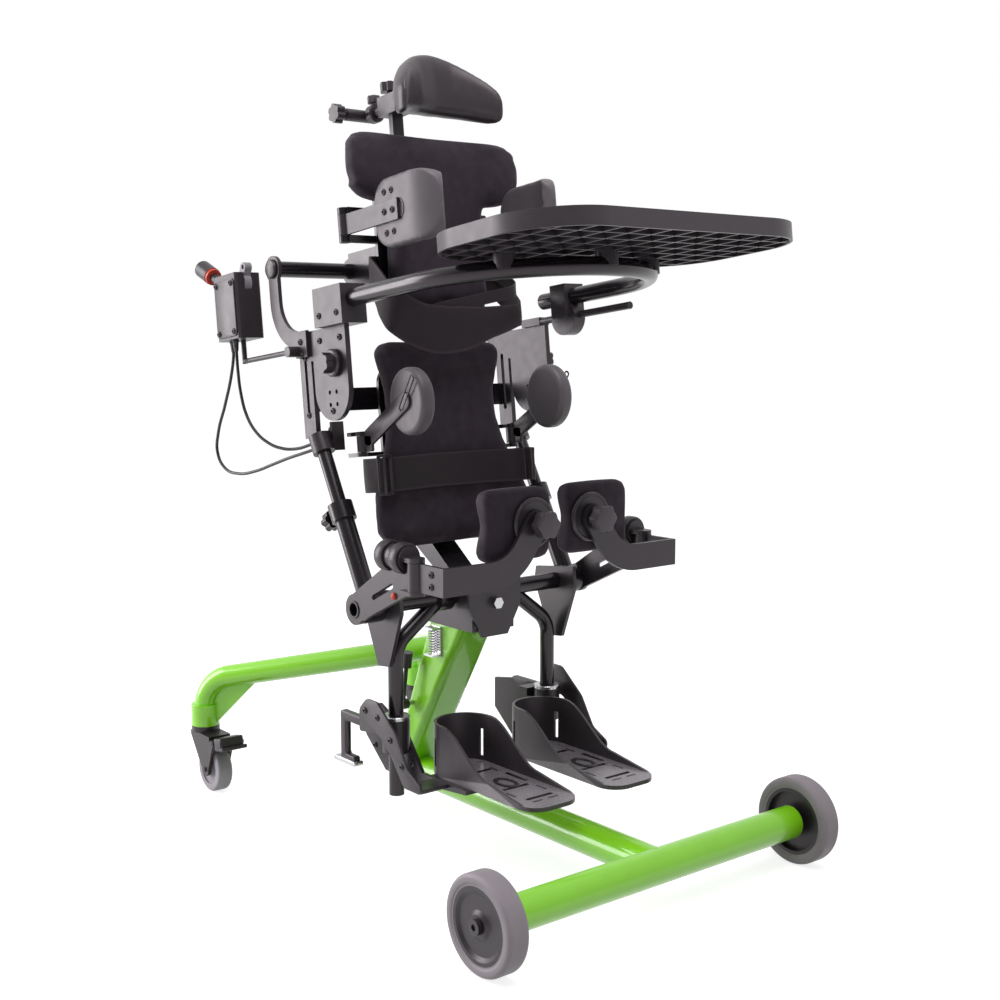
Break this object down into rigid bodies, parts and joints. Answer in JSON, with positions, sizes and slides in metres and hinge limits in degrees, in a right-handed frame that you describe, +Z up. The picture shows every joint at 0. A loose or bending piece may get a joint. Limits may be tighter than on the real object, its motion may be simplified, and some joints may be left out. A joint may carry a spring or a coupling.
{
  "type": "standing frame",
  "caption": "Wheeled standing frame for a child: green base with a leaning mast, tilting body support with cushions, tray, sandals, head pad and adjustable side supports.",
  "frame": {"origin": "on the floor under the middle of the outer box", "axes": "+Z up, the user faces -Y, +X is the user's left"},
  "size_m": [0.6098, 0.93, 1.1539],
  "materials": {
    "green_paint": "glossy apple-green powder coat",
    "black_paint": "satin black powder coat",
    "black_alloy": "satin black anodised",
    "hub_black": "matt",
    "tyre_grey": "matt grey",
    "cushion": "knitted cover over foam",
    "webbing": "woven",
    "moulded_pad": "moulded foam skin",
    "grey_pad": "matt grey skin",
    "grey_plastic": "satin",
    "tray_black": "textured",
    "cable_black": "satin sheath",
    "steel": "zinc plated"
  },
  "bodies": {
    "base": {"front_tube": "green_paint", "spine_tube": "green_paint", "mast": "green_paint", "rear_leg_right": "green_paint", "rear_leg_left": "green_paint", "front_axles": "steel", "mast_head": "black_paint", "lock_spring": "steel"},
    "wheel_right": {"tyre_right": "tyre_grey", "hub_right": "hub_black"},
    "wheel_left": {"tyre_left": "tyre_grey", "hub_left": "hub_black"},
    "caster_right": {"fork_right": "hub_black"},
    "caster_left": {"fork_left": "hub_black"},
    "caster_roll_right": {"caster_wheel_right": "tyre_grey"},
    "caster_roll_left": {"caster_wheel_left": "tyre_grey"},
    "pedal_right": {"brake_right": "hub_black"},
    "pedal_left": {"brake_left": "hub_black"},
    "lock": {"lock_lever": "hub_black"},
    "support": {"cross_bar": "black_paint", "cane_brackets": "black_alloy", "cane_tubes": "black_alloy", "seat_post": "black_alloy", "seat_pad": "cushion", "lap_belt": "webbing", "hangers": "black_paint", "knee_brackets": "black_alloy"},
    "back": {"cane_rods": "black_alloy", "side_frame_right": "black_alloy", "side_frame_left": "black_alloy", "hip_bar": "black_alloy", "back_tube": "black_alloy", "back_board": "black_alloy", "back_pad": "cushion", "chest_strap": "webbing", "tray_clamps": "hub_black", "control_box": "hub_black", "cables": "cable_black"},
    "press_knob": {"control_knob": "hub_black"},
    "hand_lever": {"control_lever": "grey_plastic"},
    "tray": {"tray_rail": "black_alloy", "tray_top": "tray_black"},
    "chest_right": {"chest_arm_right": "black_alloy", "chest_pad_right": "grey_pad"},
    "chest_left": {"chest_arm_left": "black_alloy", "chest_pad_left": "grey_pad"},
    "hip_support_right": {"hip_right": "grey_pad"},
    "hip_support_left": {"hip_left": "grey_pad"},
    "knee_right": {"knee_arm_right": "black_alloy"},
    "knee_left": {"knee_arm_left": "black_alloy"},
    "knee_cup_right": {"knee_pad_right": "cushion"},
    "knee_cup_left": {"knee_pad_left": "cushion"},
    "foot_right": {"foot_bracket_right": "black_alloy", "footplate_right": "tray_black"},
    "foot_left": {"foot_bracket_left": "black_alloy", "footplate_left": "tray_black"},
    "foot_clamp_right": {"foot_lever_right": "hub_black"},
    "foot_clamp_left": {"foot_lever_left": "hub_black"},
    "head": {"head_post": "black_alloy"},
    "head_rest": {"head_pad": "moulded_pad"}
  },
  "joints": [
    {"name": "wheel_spin_right", "type": "hinge", "parent": "base", "child": "wheel_right", "pos_m": [-0.2845, -0.4025, 0.0625], "axis": [1, 0, 0], "continuous": true},
    {"name": "caster_swivel_right", "type": "hinge", "parent": "base", "child": "caster_right", "pos_m": [-0.218, 0.442, 0.105], "axis": [0, 0, 1], "continuous": true},
    {"name": "caster_spin_right", "type": "hinge", "parent": "caster_right", "child": "caster_roll_right", "pos_m": [-0.218, 0.41, 0.0375], "axis": [1, 0, 0], "continuous": true},
    {"name": "brake_press_right", "type": "hinge", "parent": "caster_right", "child": "pedal_right", "pos_m": [-0.218, 0.386, 0.0856], "axis": [1, 0, 0], "range_deg": [0, 18]},
    {"name": "chest_swing_right", "type": "hinge", "parent": "back", "child": "chest_right", "pos_m": [-0.1285, 0.1333, 0.91298], "axis": [0, -0.1132, -0.9936], "range_deg": [0, 60]},
    {"name": "hip_swing_right", "type": "hinge", "parent": "support", "child": "hip_support_right", "pos_m": [-0.1405, 0.07139, 0.59394], "axis": [0, -0.1132, -0.9936], "range_deg": [0, 18]},
    {"name": "knee_swing_right", "type": "hinge", "parent": "support", "child": "knee_right", "pos_m": [-0.2095, -0.1575, 0.436], "axis": [0, 0, -1], "range_deg": [0, 80]},
    {"name": "knee_tilt_right", "type": "hinge", "parent": "knee_right", "child": "knee_cup_right", "pos_m": [-0.052, -0.2105, 0.50035], "axis": [0, 1, 0], "range_deg": [-12, 12]},
    {"name": "foot_height_right", "type": "slide", "parent": "support", "child": "foot_right", "axis": [0, 0, 1], "range_m": [-0.04, 0.05]},
    {"name": "foot_clamp_right", "type": "hinge", "parent": "foot_right", "child": "foot_clamp_right", "pos_m": [-0.172, 0.02, 0.188], "axis": [1, 0, 0], "range_deg": [0, 30]},
    {"name": "wheel_spin_left", "type": "hinge", "parent": "base", "child": "wheel_left", "pos_m": [0.2845, -0.4025, 0.0625], "axis": [1, 0, 0], "continuous": true},
    {"name": "caster_swivel_left", "type": "hinge", "parent": "base", "child": "caster_left", "pos_m": [0.218, 0.442, 0.105], "axis": [0, 0, 1], "continuous": true},
    {"name": "caster_spin_left", "type": "hinge", "parent": "caster_left", "child": "caster_roll_left", "pos_m": [0.218, 0.41, 0.0375], "axis": [1, 0, 0], "continuous": true},
    {"name": "brake_press_left", "type": "hinge", "parent": "caster_left", "child": "pedal_left", "pos_m": [0.218, 0.386, 0.0856], "axis": [1, 0, 0], "range_deg": [0, 18]},
    {"name": "chest_swing_left", "type": "hinge", "parent": "back", "child": "chest_left", "pos_m": [0.1285, 0.1333, 0.91298], "axis": [0, 0.1132, 0.9936], "range_deg": [0, 60]},
    {"name": "hip_swing_left", "type": "hinge", "parent": "support", "child": "hip_support_left", "pos_m": [0.1405, 0.07139, 0.59394], "axis": [0, 0.1132, 0.9936], "range_deg": [0, 18]},
    {"name": "knee_swing_left", "type": "hinge", "parent": "support", "child": "knee_left", "pos_m": [0.2095, -0.1575, 0.436], "axis": [0, 0, 1], "range_deg": [0, 80]},
    {"name": "knee_tilt_left", "type": "hinge", "parent": "knee_left", "child": "knee_cup_left", "pos_m": [0.052, -0.2105, 0.50035], "axis": [0, 1, 0], "range_deg": [-12, 12]},
    {"name": "foot_height_left", "type": "slide", "parent": "support", "child": "foot_left", "axis": [0, 0, 1], "range_m": [-0.04, 0.05]},
    {"name": "foot_clamp_left", "type": "hinge", "parent": "foot_left", "child": "foot_clamp_left", "pos_m": [0.172, 0.02, 0.188], "axis": [1, 0, 0], "range_deg": [0, 30]},
    {"name": "lock_swing", "type": "hinge", "parent": "base", "child": "lock", "pos_m": [-0.052, 0.1025, 0.182], "axis": [1, 0, 0], "range_deg": [-20, 10]},
    {"name": "tilt", "type": "hinge", "parent": "base", "child": "support", "pos_m": [0, -0.0125, 0.37], "axis": [-1, 0, 0], "range_deg": [0, 40]},
    {"name": "back_height", "type": "slide", "parent": "support", "child": "back", "axis": [0, 0.4848, 0.8746], "range_m": [-0.01, 0.05]},
    {"name": "tray_slide", "type": "slide", "parent": "back", "child": "tray", "axis": [0, -0.9936, 0.1132], "range_m": [-0.025, 0.045]},
    {"name": "head_height", "type": "slide", "parent": "back", "child": "head", "axis": [0, 0.1132, 0.9936], "range_m": [-0.015, 0.055]},
    {"name": "head_tilt", "type": "hinge", "parent": "head", "child": "head_rest", "pos_m": [0, 0.1382, 1.10969], "axis": [1, 0, 0], "range_deg": [-20, 20]},
    {"name": "knob_press", "type": "slide", "parent": "back", "child": "press_knob", "axis": [0, -0.9304, -0.3665], "range_m": [0, 0.008], "stiffness_N_per_m": 800, "springref_m": -0.002},
    {"name": "lever_pull", "type": "hinge", "parent": "back", "child": "hand_lever", "pos_m": [-0.2085, 0.29667, 0.83096], "axis": [1, 0, 0], "range_deg": [-15, 25]}
  ]
}
